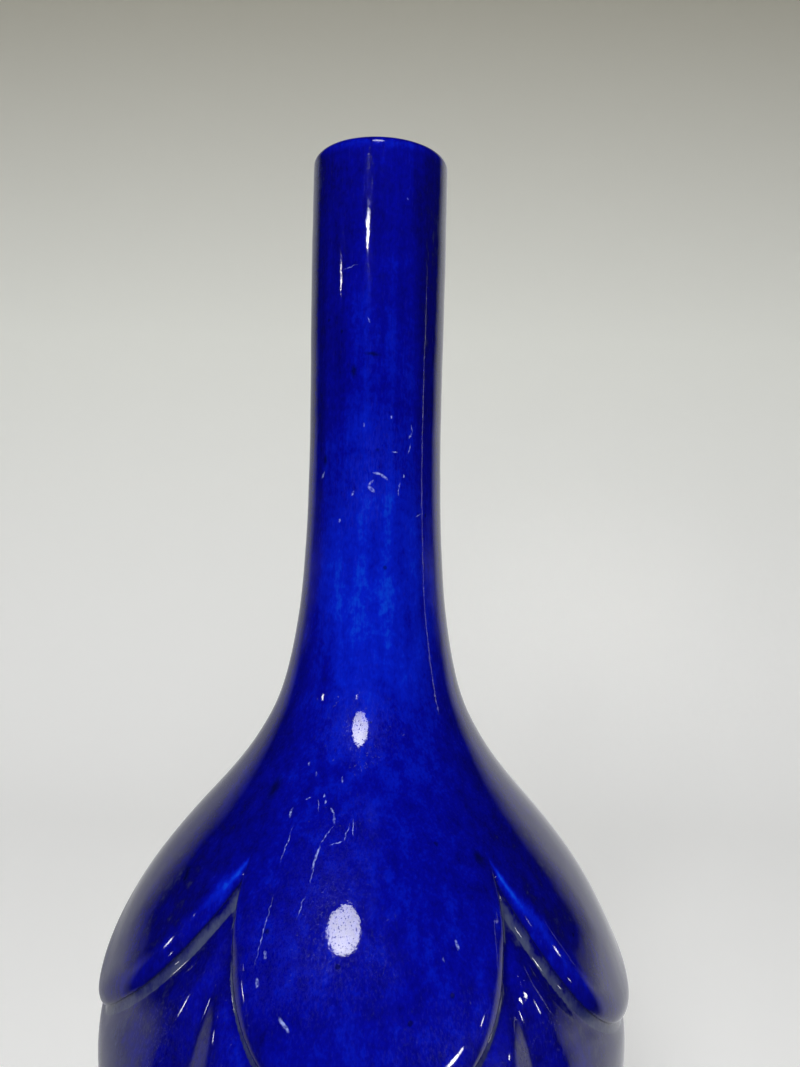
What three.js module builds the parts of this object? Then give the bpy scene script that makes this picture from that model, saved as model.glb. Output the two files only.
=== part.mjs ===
// A long-neck porcelain bottle vase with a cape of five lotus petals over a lobed body.
// Millimetres, +Z up, the foot stands on z = 0 and the vase turns about the Z axis.
//
// The pieces are the ones that a potter makes and lutes together with slip before glazing:
// neck tube, shoulder, five applied petals, upper and lower halves of the lobed body, foot ring.
import * as THREE from "three";

// Driving dimensions
const height = 218; // foot to lip
const neckRadius = 13.2; // outside, at its slimmest
const lipRadius = 13.4; // outside, just under the lip
const neckWall = 3.2;
const neckSwell = 1.67; // how much wider the neck is where it meets the shoulder
const seamRadius = 25.3; // outside, where the shoulder meets the petals
const capeRadius = 51.4; // widest point of the petals' outline
const capeThickness = 2.2; // how far a petal stands proud of the body
const bodyWall = 3.6;
const lobeStep = 1.4; // how far the widest point of the lobes lies inside the petals' outline
const grooveDepth = 2.3; // between two lobes
const grooveHalf = 0.19; // half a groove's width, as a share of half a lobe
const petalCount = 5;
const petalTurn = 2.4; // degrees, how far the front petal is turned to the right

// Levels above the table
const shoulderSeam = 126.4; // neck tube sits on the shoulder
const petalNotch = 85.3; // where two neighbouring petals part
const seamRise = 13.7; // from the notches up to the seam where the shoulder sits on the body
const petalTips = [57, 56.4, 57.6, 57.2, 58.2]; // cut by hand, each at its own height
const grooveDrop = 1.3; // from the notch down to where two lobes part
const grooveRun = 24; // the groove deepens over this much below
const bodySeam = 50; // the two halves of the body meet at the widest point
const footHeight = 7;
const footRadius = 27; // outside, where the foot meets the body
const footBottomRadius = 25.6; // outside, on the table
const footWall = 5;
const footTaper = 0.9; // how far the foot draws in at its top, outside
const footUndercut = 1.2; // and inside
const footChamfer = 0.8;
const floorThickness = 5;
const slipGap = 0.3; // between a petal and the wall that it is luted to

// Finish of the edges
const lipRound = 1.5;
const lipSteps = 3; // facets to each quarter turn of the lip
const edgeRound = 1.5; // how far a petal's edge rounds back
const edgeWidth = 4.8; // over this width
const rimRise = 0.32; // how far a petal's rolled rim stands up
const rimPlace = 3.6; // at this distance from its edge
const rimWidth = 2.8;
const rimEnd = [0.75, 0.98]; // shares of a petal's half width over which it sinks into the notch
const tipRound = 0.08; // share of a petal's half width over which its tip is blunt
const notchLean = 0.95; // the rims narrow by this into a notch
// Share of each petal's edge that rises evenly; the rest steepens into the notch
const edgeStraight = [0.25, 0.25, 0.35, 0.3, 0.6];

// The outline in shares: how far down, and how far out, between two seams
const neckStraight = 0.4; // share of the neck below its lip that hardly narrows
const neckBend = 21; // mm above the shoulder's seam where the neck starts to widen
const flareShape = [[0.387, 0.19], [0.58, 0.357], [0.774, 0.6]];
const capeShape = [[0.09, 0.136], [0.196, 0.314], [0.412, 0.63], [0.629, 0.849], [0.845, 0.977]];
const footDraw = 0.8; // power by which a groove runs out towards the foot
const grooveEarly = 0.6; // power by which it deepens, steepest where it starts

// Mesh fineness
const splineSteps = 24; // samples from one outline point to the next
const roundSteps = 60; // around a lathe piece, a multiple of petalCount
const lobeSteps = 16; // across one lobe, and across the petal over it
const gathered = 0.45; // how much closer these stand beside a groove
const edgeRows = [0, 0.4, 1.1, 2.2, 3.6, 5.2, 7]; // mm above a petal's edge
const faceRows = 3; // from there to the petal's top
const backRows = 6; // on a petal's back
const upperRows = 12; // up the outside of the body's upper half
const lowerRows = 8; // and of its lower half
const neckRows = 10;
const flareRows = 8;

const porcelain = new THREE.MeshStandardMaterial({
  color: 0x0a0f8c,
  roughness: 0.12,
  metalness: 0,
});
const bareClay = new THREE.MeshStandardMaterial({
  color: 0xcfc4ae,
  roughness: 0.85,
  metalness: 0,
});

const turn = 2 * Math.PI;
const petalAngle = turn / petalCount;
const frontAngle = -Math.PI / 2 + THREE.MathUtils.degToRad(petalTurn);

// Radius of a smooth outline at a height, from a spline through [radius, z] points in order of falling z.
function outline(points) {
  const curve = new THREE.SplineCurve(points.map(([r, z]) => new THREE.Vector2(r, z)));
  const samples = curve.getPoints(points.length * splineSteps);
  return (z) => {
    if (z >= samples[0].y) return samples[0].x;
    for (let i = 1; i < samples.length; i++) {
      const upper = samples[i - 1];
      const lower = samples[i];
      if (z >= lower.y) {
        const share = (upper.y - z) / Math.max(upper.y - lower.y, 1e-9);
        return upper.x + share * (lower.x - upper.x);
      }
    }
    return samples[samples.length - 1].x;
  };
}

// Points between two seams, given in shares of the way down and out.
function between(shape, [topRadius, top], [bottomRadius, bottom]) {
  const widening = bottomRadius - topRadius;
  return shape.map(([down, out]) => [topRadius + out * widening, top - down * (top - bottom)]);
}

// The glazed outside from the lip to the widest point of the petals.
const petalSeam = petalNotch + seamRise;
const neckFoot = [neckRadius + neckSwell, shoulderSeam];
const capeTop = [seamRadius, petalSeam];
const capeFoot = [capeRadius, bodySeam];
const neckLow = shoulderSeam + neckBend;
const smoothOutside = outline([
  [lipRadius, height],
  [lipRadius, height - neckStraight * (height - neckLow)],
  [neckRadius, neckLow + neckBend / 2],
  [neckRadius + neckSwell / 8, neckLow],
  neckFoot,
  ...between(flareShape, neckFoot, capeTop),
  capeTop,
  ...between(capeShape, capeTop, capeFoot),
  capeFoot,
]);

const smoothStep = (x) => x * x * (3 - 2 * x);
const lobeRadius = capeRadius - lobeStep;
const petalTip = Math.min(...petalTips);

// The crest of the lobes: it follows the inside of the petals, then rounds under to the foot.
function lobeCrest(z) {
  const underPetal = smoothOutside(z) - capeThickness;
  if (z >= petalTip) return underPetal;
  if (z >= bodySeam) {
    const share = smoothStep((z - bodySeam) / (petalTip - bodySeam));
    return lobeRadius + share * (underPetal - lobeRadius);
  }
  const drop = (bodySeam - z) / (bodySeam - footHeight);
  const narrow = Math.sqrt(Math.max(1 - (footRadius / lobeRadius) ** 2, 0));
  return lobeRadius * Math.sqrt(1 - (drop * narrow) ** 2);
}

// How far the groove between two lobes has opened: 0 under the notch, 1 around the widest point.
function grooveAt(z) {
  const upper = (petalNotch - grooveDrop - z) / grooveRun;
  const lower = Math.max((z - footHeight) / (bodySeam - footHeight), 0) ** footDraw;
  return THREE.MathUtils.clamp(Math.min(upper, lower), 0, 1);
}

// Share of the way from a petal's middle to its side, 0 to 1.
function acrossPetal(angle) {
  const steps = (angle - frontAngle) / petalAngle;
  return Math.abs(2 * (steps - Math.round(steps)));
}

const grooveDeep = (z) => grooveDepth * grooveAt(z) ** grooveEarly;

// The lobed outside, with a V-shaped groove that widens as it deepens.
function lobeOutside(angle, z) {
  const opened = grooveAt(z);
  if (opened === 0) return lobeCrest(z);
  const valley = Math.max(1 - (1 - acrossPetal(angle)) / (grooveHalf * opened), 0);
  return lobeCrest(z) - grooveDeep(z) * valley;
}

const bodyInside = (z) => lobeCrest(z) - grooveDeep(z) - bodyWall;

// Height of a petal's lower edge: it rises gently from the tip and steepens into the notch.
function petalEdge(u, index) {
  const full = Math.hypot(1, tipRound) - tipRound;
  const blunt = (Math.hypot(u, tipRound) - tipRound) / full;
  const even = edgeStraight[index];
  const tip = petalTips[index];
  return tip + (petalNotch - tip) * blunt * (even + (1 - even) * blunt * blunt);
}

// Cosine of an edge's slope, which turns a distance from the edge into a rise.
function edgeLean(u, index) {
  const small = 0.01;
  const rise = (petalEdge(u + small, index) - petalEdge(Math.abs(u - small), index)) / (2 * small);
  const along = (petalAngle / 2) * smoothOutside(petalEdge(u, index));
  const nearNotch = THREE.MathUtils.smoothstep(u, 0.7, 1);
  return Math.max(1 / Math.hypot(1, rise / along), notchLean * nearNotch);
}

// A petal's outside radius: a rolled rim above its edge, which rounds back to the body.
// The height above the edge is given as a distance, and the place across as a share.
function petalOutside(z, away, u) {
  const toEdge = Math.max(1 - away / edgeWidth, 0);
  const rounded = edgeRound * (1 - Math.sqrt(1 - toEdge * toEdge));
  const standing = rimRise * (1 - THREE.MathUtils.smoothstep(u, ...rimEnd));
  const rolled = standing * Math.exp(-(((away - rimPlace) / rimWidth) ** 2));
  return smoothOutside(z) + rolled - rounded;
}

// Fills the section at one end of a body of rings. It faces back along the turn, or forward at the far end.
function closeEnd(faces, ring, first, forward) {
  const flat = ring.map((p) => new THREE.Vector2(Math.hypot(p.x, p.y), p.z));
  for (const corners of THREE.ShapeUtils.triangulateShape(flat, [])) {
    const anticlockwise = THREE.ShapeUtils.area(corners.map((i) => flat[i])) > 0;
    if (anticlockwise === forward) corners.reverse();
    faces.push(...corners.map((i) => first + i));
  }
}

// A closed body from rings of points. Each ring is a closed loop through the wall's section,
// and the rings stand side by side; a full turn joins the last ring to the first.
function bodyOfRings(rings, fullTurn) {
  const loop = rings[0].length;
  const positions = rings.flat().flatMap((p) => [p.x, p.y, p.z]);
  const faces = [];
  const spans = fullTurn ? rings.length : rings.length - 1;
  for (let i = 0; i < spans; i++) {
    const here = i * loop;
    const next = ((i + 1) % rings.length) * loop;
    for (let j = 0; j < loop; j++) {
      const k = (j + 1) % loop;
      faces.push(here + j, next + j, next + k, here + j, next + k, here + k);
    }
  }
  if (!fullTurn) {
    closeEnd(faces, rings[0], 0, false);
    closeEnd(faces, rings.at(-1), (rings.length - 1) * loop, true);
  }
  const geometry = new THREE.BufferGeometry();
  geometry.setAttribute("position", new THREE.Float32BufferAttribute(positions, 3));
  geometry.setIndex(faces);
  return geometry;
}

const place = (angle, radius, z) => new THREE.Vector3(radius * Math.cos(angle), radius * Math.sin(angle), z);

function lathe(points) {
  const profile = points.map(([r, z]) => new THREE.Vector2(r, z));
  profile.push(profile[0].clone());
  const geometry = new THREE.LatheGeometry(profile, roundSteps);
  geometry.rotateX(Math.PI / 2);
  return geometry;
}

function levels(from, to, steps) {
  return Array.from({ length: steps + 1 }, (_, i) => from + ((to - from) * i) / steps);
}

// Angles across one lobe from groove to groove, closer together beside the grooves.
function acrossLobe(middle, half) {
  const shares = levels(-1, 1, lobeSteps).map((s) => s + (gathered * Math.sin(Math.PI * s)) / Math.PI);
  return shares.map((share) => middle + share * half);
}

// Quarter turns of a rounded edge about [r, z], from one angle in degrees to another.
function arc(r, z, radius, from, to, steps) {
  return levels(from, to, steps).map((degrees) => {
    const a = THREE.MathUtils.degToRad(degrees);
    return [r + radius * Math.cos(a), z + radius * Math.sin(a)];
  });
}

function neckTube() {
  const straight = height - 2 * lipRound;
  const outside = levels(shoulderSeam, straight, neckRows).map((z) => [smoothOutside(z), z]);
  const inside = levels(straight, shoulderSeam, neckRows - 2).map((z) => [smoothOutside(z) - neckWall, z]);
  const lipOut = arc(lipRadius - lipRound, height - lipRound, lipRound, 0, 90, lipSteps);
  const lipIn = arc(lipRadius - neckWall + lipRound, height - lipRound, lipRound, 90, 180, lipSteps);
  return lathe([...outside, ...lipOut, ...lipIn, ...inside]);
}

function shoulder() {
  const outside = levels(petalSeam, shoulderSeam, flareRows).map((z) => [smoothOutside(z), z]);
  const bodyTop = bodyInside(petalSeam);
  const neckBore = smoothOutside(shoulderSeam) - neckWall;
  const inside = levels(shoulderSeam, petalSeam, flareRows).map((z) => {
    const share = (shoulderSeam - z) / (shoulderSeam - petalSeam);
    const wall = neckWall + share * (smoothOutside(petalSeam) - bodyTop - neckWall);
    return [z === shoulderSeam ? neckBore : smoothOutside(z) - wall, z];
  });
  return lathe([...outside, ...inside]);
}

function petal(index) {
  const middle = frontAngle + index * petalAngle;
  const seamAngle = slipGap / 2 / smoothOutside(petalNotch);
  const half = petalAngle / 2 - seamAngle;
  const rings = acrossLobe(middle, half).map((angle) => {
    const u = acrossPetal(angle);
    const edge = petalEdge(u, index);
    const lean = edgeLean(u, index);
    const rim = edgeRows.map((away) => edge + away / lean);
    const heights = [...rim, ...levels(rim.at(-1), petalSeam, faceRows).slice(1)];
    const outside = heights.map((z) => place(angle, petalOutside(z, (z - edge) * lean, u), z));
    const back = levels(petalSeam, edge, backRows);
    const inside = back.map((z) => place(angle, lobeOutside(angle, z) + slipGap, z));
    return [...outside, ...inside];
  });
  return bodyOfRings(rings, false);
}

function bodyHalf(from, to, rows, floor) {
  const middles = levels(frontAngle, frontAngle + turn, petalCount).slice(0, -1);
  const angles = middles.flatMap((middle) => acrossLobe(middle, petalAngle / 2).slice(0, -1));
  return angles.map((angle) => {
    const outside = levels(from, to, rows).map((z) => place(angle, lobeOutside(angle, z), z));
    const inside = levels(to, floor, rows / 2).map((z) => place(angle, bodyInside(z), z));
    return [...outside, ...inside];
  });
}

const upperBody = () => bodyOfRings(bodyHalf(bodySeam, petalSeam, upperRows, bodySeam), true);

// The lower half is a bowl with a floor, so its section also closes on the axis.
function lowerBody() {
  const rings = bodyHalf(footHeight, bodySeam, lowerRows, footHeight + floorThickness);
  const loop = rings[0].length;
  const positions = rings.flat().flatMap((p) => [p.x, p.y, p.z]);
  const under = positions.length / 3;
  const over = under + 1;
  positions.push(0, 0, footHeight, 0, 0, footHeight + floorThickness);
  const faces = [];
  rings.forEach((_, i) => {
    const here = i * loop;
    const next = ((i + 1) % rings.length) * loop;
    for (let j = 0; j < loop - 1; j++) {
      faces.push(here + j, next + j, next + j + 1, here + j, next + j + 1, here + j + 1);
    }
    faces.push(under, next, here);
    faces.push(over, here + loop - 1, next + loop - 1);
  });
  const geometry = new THREE.BufferGeometry();
  geometry.setAttribute("position", new THREE.Float32BufferAttribute(positions, 3));
  geometry.setIndex(faces);
  return geometry;
}

function footRing() {
  return lathe([
    [footBottomRadius - footChamfer, 0],
    [footBottomRadius, footChamfer],
    [footRadius - footTaper, footHeight],
    [footRadius - footWall - footUndercut, footHeight],
    [footBottomRadius - footWall, footChamfer],
    [footBottomRadius - footWall + footChamfer, 0],
  ]);
}

const vase = new THREE.Group();

function add(name, geometry, material) {
  const mesh = new THREE.Mesh(geometry, material);
  mesh.name = name;
  vase.add(mesh);
}

add("neck_tube", neckTube(), porcelain);
add("shoulder", shoulder(), porcelain);
for (let i = 0; i < petalCount; i++) add(`petal_${i + 1}`, petal(i), porcelain);
add("body_upper", upperBody(), porcelain);
add("body_lower", lowerBody(), porcelain);
add("foot_ring", footRing(), bareClay);

export default vase;
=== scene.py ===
"""A cobalt blue long-neck porcelain vase with a cape of lotus petals, dressed for the camera.

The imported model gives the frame. The pieces here are finer skins of the same shapes:
the neck with its cape of petals, the lobed body under them, and the foot ring.
Shapes are worked out in millimetres and written to the meshes in metres.
"""

from __future__ import annotations

import logging
import math
from dataclasses import dataclass, field
from enum import Enum
from typing import Any, Sequence

import bpy
import numpy as np
from mathutils import Matrix, Vector

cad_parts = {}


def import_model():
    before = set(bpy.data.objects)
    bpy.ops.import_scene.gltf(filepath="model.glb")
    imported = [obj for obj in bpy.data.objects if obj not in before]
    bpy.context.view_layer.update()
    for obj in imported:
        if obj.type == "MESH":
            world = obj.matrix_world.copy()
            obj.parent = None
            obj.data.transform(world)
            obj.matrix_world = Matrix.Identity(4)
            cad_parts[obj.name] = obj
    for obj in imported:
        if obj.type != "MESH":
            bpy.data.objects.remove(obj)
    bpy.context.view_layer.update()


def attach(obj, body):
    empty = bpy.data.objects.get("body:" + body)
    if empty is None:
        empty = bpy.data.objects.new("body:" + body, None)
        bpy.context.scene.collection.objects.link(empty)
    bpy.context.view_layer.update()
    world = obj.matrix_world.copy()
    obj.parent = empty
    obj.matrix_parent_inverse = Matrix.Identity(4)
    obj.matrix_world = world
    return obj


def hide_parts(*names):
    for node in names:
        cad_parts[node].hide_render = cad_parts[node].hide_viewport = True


LOG = logging.getLogger("vase")
MM = 0.001
DEPTH_AND_SHADE_ATTRIBUTE = "glaze_depth_and_shade"


class Slot(Enum):
    """The record's material slots."""

    COBALT_GLAZE = "cobalt_glaze"
    BARE_CLAY = "bare_clay"


def step(x: np.ndarray, low: float, high: float) -> np.ndarray:
    """Rises smoothly from 0 at low to 1 at high.

    Args:
        x: Values to test.
        low: Where the rise starts.
        high: Where it ends.

    Returns:
        Shares from 0 to 1.
    """
    share = np.clip((x - low) / (high - low), 0.0, 1.0)
    return share * share * (3.0 - 2.0 * share)


def bell(x: np.ndarray, width: float) -> np.ndarray:
    """A soft bump of height 1 at x = 0."""
    return np.exp(-((x / width) ** 2))


class Spline:
    """A natural cubic spline, so that gloss runs along an outline without a break."""

    def __init__(self, points: Sequence[tuple[float, float]]) -> None:
        """Fits the spline.

        Args:
            points: Pairs of place and value, in any order of place.
        """
        at, value = np.array(sorted(points), dtype=float).T
        gap = np.diff(at)
        count = len(at)
        matrix = np.eye(count)
        right = np.zeros(count)
        for i in range(1, count - 1):
            matrix[i, i - 1 : i + 2] = gap[i - 1], 2.0 * (gap[i - 1] + gap[i]), gap[i]
            slopes = (value[i + 1] - value[i]) / gap[i], (value[i] - value[i - 1]) / gap[i - 1]
            right[i] = 6.0 * (slopes[0] - slopes[1])
        self.at, self.value, self.gap = at, value, gap
        self.bend = np.linalg.solve(matrix, right)

    def __call__(self, x: np.ndarray) -> np.ndarray:
        """The spline's values, held level past both ends.

        Args:
            x: Places.

        Returns:
            The value at each.
        """
        x = np.clip(x, self.at[0], self.at[-1])
        i = np.clip(np.searchsorted(self.at, x, side="right") - 1, 0, len(self.gap) - 1)
        before, after, gap = x - self.at[i], self.at[i + 1] - x, self.gap[i]
        curved = (self.bend[i] * after**3 + self.bend[i + 1] * before**3) / (6.0 * gap)
        low = (self.value[i] / gap - self.bend[i] * gap / 6.0) * after
        high = (self.value[i + 1] / gap - self.bend[i + 1] * gap / 6.0) * before
        return curved + low + high


@dataclass(frozen=True)
class VaseForm:
    """The vase's shape in millimetres, which all its pieces share."""

    height: float = 218.0
    petals: int = 5
    turn: float = 2.4  # degrees, how far the front petal is turned to the right
    cape_thickness: float = 2.2
    shoulder_seam: float = 99.0  # the body's wall ends inside the cape here
    notch: float = 85.3
    tips: tuple[float, ...] = (57.0, 56.4, 57.6, 57.2, 58.2)  # cut by hand, each at its height
    tip_blunt: float = 0.08
    edge_straight: tuple[float, ...] = (0.25, 0.25, 0.35, 0.3, 0.6)  # the pointed rise evenly
    rim_thin: tuple[float, ...] = (0.35, 1.0, 0.8, 0.8, 0.9)  # how far the glaze ran off each rim
    waist: float = 50.0
    lobe_radius: float = 50.0
    bulge_top: float = 62.0  # above this the lobes follow the petals' inside
    groove_top: float = 84.0  # where two lobes part
    groove_full: float = 60.0  # where the groove between them has its full depth
    groove_depth: float = 1.7
    groove_half: float = 0.17  # half the groove's width, as a share of half a petal
    groove_blunt: float = 0.012  # how blunt its bottom is
    groove_soft: float = 0.03  # how softly its sides run out
    groove_start: float = 0.6  # a power; under 1 makes the groove steepest where it starts
    groove_close: float = 0.8  # a power, for its lower end at the foot
    groove_drift: tuple[float, ...] = (-0.18, 0.0, 0.0, 0.0, 0.115)  # how far it is off its notch
    groove_fan: tuple[float, ...] = (0.13, 0.0, 0.0, 0.0, -0.13)  # how much farther as it opens
    rim_rise: float = 0.32  # how far a petal's rolled rim stands up
    rim_place: float = 3.6
    rim_width: float = 2.8
    notch_lean: float = 0.95  # the rims narrow by this into a notch
    notch_near: tuple[float, float] = (0.7, 1.0)  # shares of half a petal, where they do
    foot_height: float = 7.0
    foot_radius: float = 27.0
    wall: float = 3.6
    neck_wall: float = 3.2
    hollow_narrows: tuple[float, float] = (91.0, 119.0)  # from the body's hollow to the bore
    gutter_depth: float = 1.1  # how far the ground is cut down along a petal's edge
    gutter_place: float = 1.3
    gutter_width: float = 1.7
    gutter_at_tip: float = 0.35  # how much of it is left under a tip
    gutter_deepens: tuple[float, float] = (0.4, 0.85)  # shares of half a petal
    oval: float = 0.10  # unevenness from the wheel and the hand: twofold, threefold, in rings
    threefold: float = 0.06
    rings: float = 0.014
    fine_rings: float = 0.005
    to_notch: tuple[float, float] = (0.45, 0.9)  # shares of half a petal, where a notch starts
    coat: float = 0.5  # the glaze's common depth
    white_coat: float = -0.6  # clear glaze over white, inside and under the foot
    lip_thinner: float = 0.06
    lip_reach: float = 1.7
    neck_thinner: float = 0.115
    neck_middle: float = 135.0
    neck_reach: float = 32.0
    neck_lit_front: float = 0.6  # painted light: how much of that is added on the neck's lit front and taken off behind
    neck_lit_turn: float = 0.35  # radians to the right of the front, where the painted light makes it lightest
    # painted shade: a darker band on the neck just below the lip
    top_painted_shade: float = 0.05
    top_middle: float = 205.0
    top_reach: float = 10.0
    outline: Spline = field(
        default=Spline(
            [
                (218.0, 13.40),
                (190.0, 13.42),
                (162.0, 13.20),
                (147.6, 13.41),
                (137.0, 13.88),
                (126.4, 14.87),
                (115.8, 16.85),
                (110.5, 18.48),
                (105.2, 21.10),
                (99.9, 24.57),
                (94.6, 28.85),
                (89.4, 33.50),
                (78.8, 41.75),
                (68.2, 47.45),
                (57.6, 50.80),
                (50.0, 51.40),
            ]
        )
    )

    @property
    def front(self) -> float:
        """The angle of the front petal's middle, in radians."""
        return -math.pi / 2 + math.radians(self.turn)

    @property
    def pitch(self) -> float:
        """The angle from one petal to the next, in radians."""
        return 2 * math.pi / self.petals

    def angles(self, per_petal: int) -> np.ndarray:
        """The angle of each column of points, from the front petal's middle."""
        return self.front + np.linspace(0.0, 2 * math.pi, per_petal * self.petals, endpoint=False)

    def across(self, angle: np.ndarray) -> np.ndarray:
        """Share of the way from the nearest petal's middle to its side, 0 to 1."""
        steps = (angle - self.front) / self.pitch
        return np.abs(2.0 * (steps - np.round(steps)))

    def wobble(self, angle: np.ndarray, z: np.ndarray) -> np.ndarray:
        """Small unevenness from throwing and lapping by hand, in millimetres.

        Args:
            angle: Angles around the vase.
            z: Heights.

        Returns:
            How far it lifts the outside.
        """
        twofold = self.oval * np.sin(2 * angle + 0.03 * z)
        threefold = self.threefold * np.sin(3 * angle - 0.05 * z + 1.0)
        rings = self.rings * np.sin(0.42 * z + 1.3 * np.sin(angle))
        fine_rings = self.fine_rings * np.sin(0.9 * z + 2.0)
        return (twofold + threefold) + (rings + fine_rings)

    def spot(self, bearing: float, z: float) -> Vector:
        """A point on the outside.

        Args:
            bearing: Degrees to the right of the front.
            z: Height.

        Returns:
            The point, in millimetres.
        """
        angle = math.radians(bearing - 90.0)
        radius = float(self.outline(np.array(z)))
        return Vector((radius * math.cos(angle), radius * math.sin(angle), z))

    def cape(self, angle: np.ndarray, z: np.ndarray) -> np.ndarray:
        """Radius of the outside over neck and petals."""
        return self.outline(z) + self.wobble(angle, z)

    def petal_at(self, angle: np.ndarray, beyond: bool = False) -> np.ndarray:
        """Number of the nearest petal, from 0 at the front.

        Args:
            angle: Angles around the vase.
            beyond: True for the next nearest petal.

        Returns:
            The numbers, counted to the right.
        """
        steps = (angle - self.front) / self.pitch
        nearest = np.round(steps)
        if beyond:
            nearest = nearest + np.where(steps > nearest, 1, -1)
        return nearest.astype(int) % self.petals

    def edge(self, u: np.ndarray, petal: np.ndarray) -> np.ndarray:
        """Height of a petal's lower edge.

        Args:
            u: Share of the way from the petal's middle to its side.
            petal: The petal's number.

        Returns:
            The height, from the tip's to the notch's.
        """
        tip, straight = np.array(self.tips)[petal], np.array(self.edge_straight)[petal]
        soft = np.sqrt(u * u + self.tip_blunt**2) - self.tip_blunt
        soft = soft / (math.sqrt(1 + self.tip_blunt**2) - self.tip_blunt)
        return tip + (self.notch - tip) * soft * (straight + (1.0 - straight) * soft * soft)

    def lean(self, u: np.ndarray, petal: np.ndarray) -> np.ndarray:
        """Cosine of the slope of a petal's edge, which turns a rise into a distance.

        Args:
            u: Share of the way from the petal's middle to its side.
            petal: The petal's number.

        Returns:
            The cosines.
        """
        small = 0.01
        rise = (self.edge(u + small, petal) - self.edge(np.abs(u - small), petal)) / (2 * small)
        along = self.pitch / 2 * self.outline(self.edge(u, petal))
        return 1.0 / np.sqrt(1.0 + (rise / along) ** 2)

    def rim_lean(self, u: np.ndarray, petal: np.ndarray) -> np.ndarray:
        """The same above the edge, where a rim narrows into the notch."""
        return np.maximum(self.lean(u, petal), self.notch_lean * step(u, *self.notch_near))

    def crest(self, z: np.ndarray) -> np.ndarray:
        """Radius of the body along the middle of a lobe.

        Args:
            z: Heights.

        Returns:
            The radii.
        """
        under = self.outline(z) - self.cape_thickness
        drop = np.clip((self.waist - z) / (self.waist - self.foot_height), 0.0, 1.0)
        narrow = 1.0 - (self.foot_radius / self.lobe_radius) ** 2
        low = self.lobe_radius * np.sqrt(1.0 - narrow * drop * drop)
        upper = self.lobe_radius + step(z, self.waist, self.bulge_top) * (under - self.lobe_radius)
        return np.where(z < self.waist, low, upper)

    def groove(self, z: np.ndarray) -> np.ndarray:
        """How far the groove between two lobes has opened, 0 to 1.

        Args:
            z: Heights.

        Returns:
            The shares.
        """
        upper = np.clip((self.groove_top - z) / (self.groove_top - self.groove_full), 0.0, 1.0)
        lower = np.clip((z - self.foot_height) / (self.waist - self.foot_height), 0.0, 1.0)
        return np.minimum(upper, lower**self.groove_close)

    def below_edge(self, angle: np.ndarray, z: np.ndarray) -> np.ndarray:
        """Distance down from the nearest petal's edge, with both petals beside a notch.

        Args:
            angle: Angles around the vase.
            z: Heights.

        Returns:
            The distances.
        """
        u = self.across(angle)
        petal, beyond = self.petal_at(angle), self.petal_at(angle, beyond=True)
        near = (self.edge(u, petal) - z) * self.lean(u, petal)
        far = (self.edge(2.0 - u, beyond) - z) * self.lean(np.minimum(2.0 - u, 1.2), beyond)
        blend = 0.8
        return near - blend * np.log1p(np.exp(np.clip((near - far) / blend, -30, 30)))

    def to_groove(self, angle: np.ndarray, opened: np.ndarray) -> np.ndarray:
        """Distance from the nearest groove, as a share of half a petal.

        Args:
            angle: Angles around the vase.
            opened: How far the groove has opened, as it drifts off its notch meanwhile.

        Returns:
            The distances.
        """
        steps = (angle - self.front) / self.pitch - 0.5
        nearest = np.round(steps)
        number = nearest.astype(int) % self.petals
        drift = np.array(self.groove_drift)[number] + np.array(self.groove_fan)[number] * opened
        return np.abs(2.0 * (steps - nearest) - drift)

    def body(self, angle: np.ndarray, z: np.ndarray) -> np.ndarray:
        """Radius of the lobed body's outside.

        Args:
            angle: Angles around the vase.
            z: Heights.

        Returns:
            The radii.
        """
        below = self.below_edge(angle, z) - self.gutter_place
        deeper = (1.0 - self.gutter_at_tip) * step(self.across(angle), *self.gutter_deepens)
        gutter = self.gutter_depth * bell(below, self.gutter_width) * (self.gutter_at_tip + deeper)
        opened = self.groove(z)
        blunt = np.sqrt(self.to_groove(angle, opened) ** 2 + self.groove_blunt**2)
        away = (1.0 - blunt / (self.groove_half * np.maximum(opened, 0.02))) / self.groove_soft
        valley = self.groove_soft * np.log1p(np.exp(np.clip(away, -30, 30)))
        deep = self.groove_depth * opened**self.groove_start
        return self.crest(z) - deep * valley - gutter + self.wobble(angle, z)

    def inside(self, z: np.ndarray) -> np.ndarray:
        """Radius of the hollow, from the floor to the lip.

        Args:
            z: Heights.

        Returns:
            The radii.
        """
        low = self.crest(z) - self.groove_depth - self.wall
        neck = self.outline(z) - self.neck_wall
        return low + step(z, *self.hollow_narrows) * (neck - low)

    def glaze(self, angle: np.ndarray, z: np.ndarray) -> np.ndarray:
        """How thick the glaze lies on the outside: thin under the lip, lighter down the neck. The
        neck's front is drawn lighter as painted light, and a band below the lip darker as painted
        shade.

        Args:
            angle: Angles around the vase.
            z: Heights.

        Returns:
            The depths.
        """
        lip = self.lip_thinner * bell(self.height - z, self.lip_reach)
        # painted light: the neck is drawn lighter on its front and darker behind, as light falls
        before = 1.0 + self.neck_lit_front * np.cos(angle - self.front - self.neck_lit_turn)
        neck = self.neck_thinner * bell(z - self.neck_middle, self.neck_reach) * before
        # painted shade: a darker band just below the lip
        top = self.top_painted_shade * bell(z - self.top_middle, self.top_reach)
        return self.coat - lip - neck + top


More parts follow.
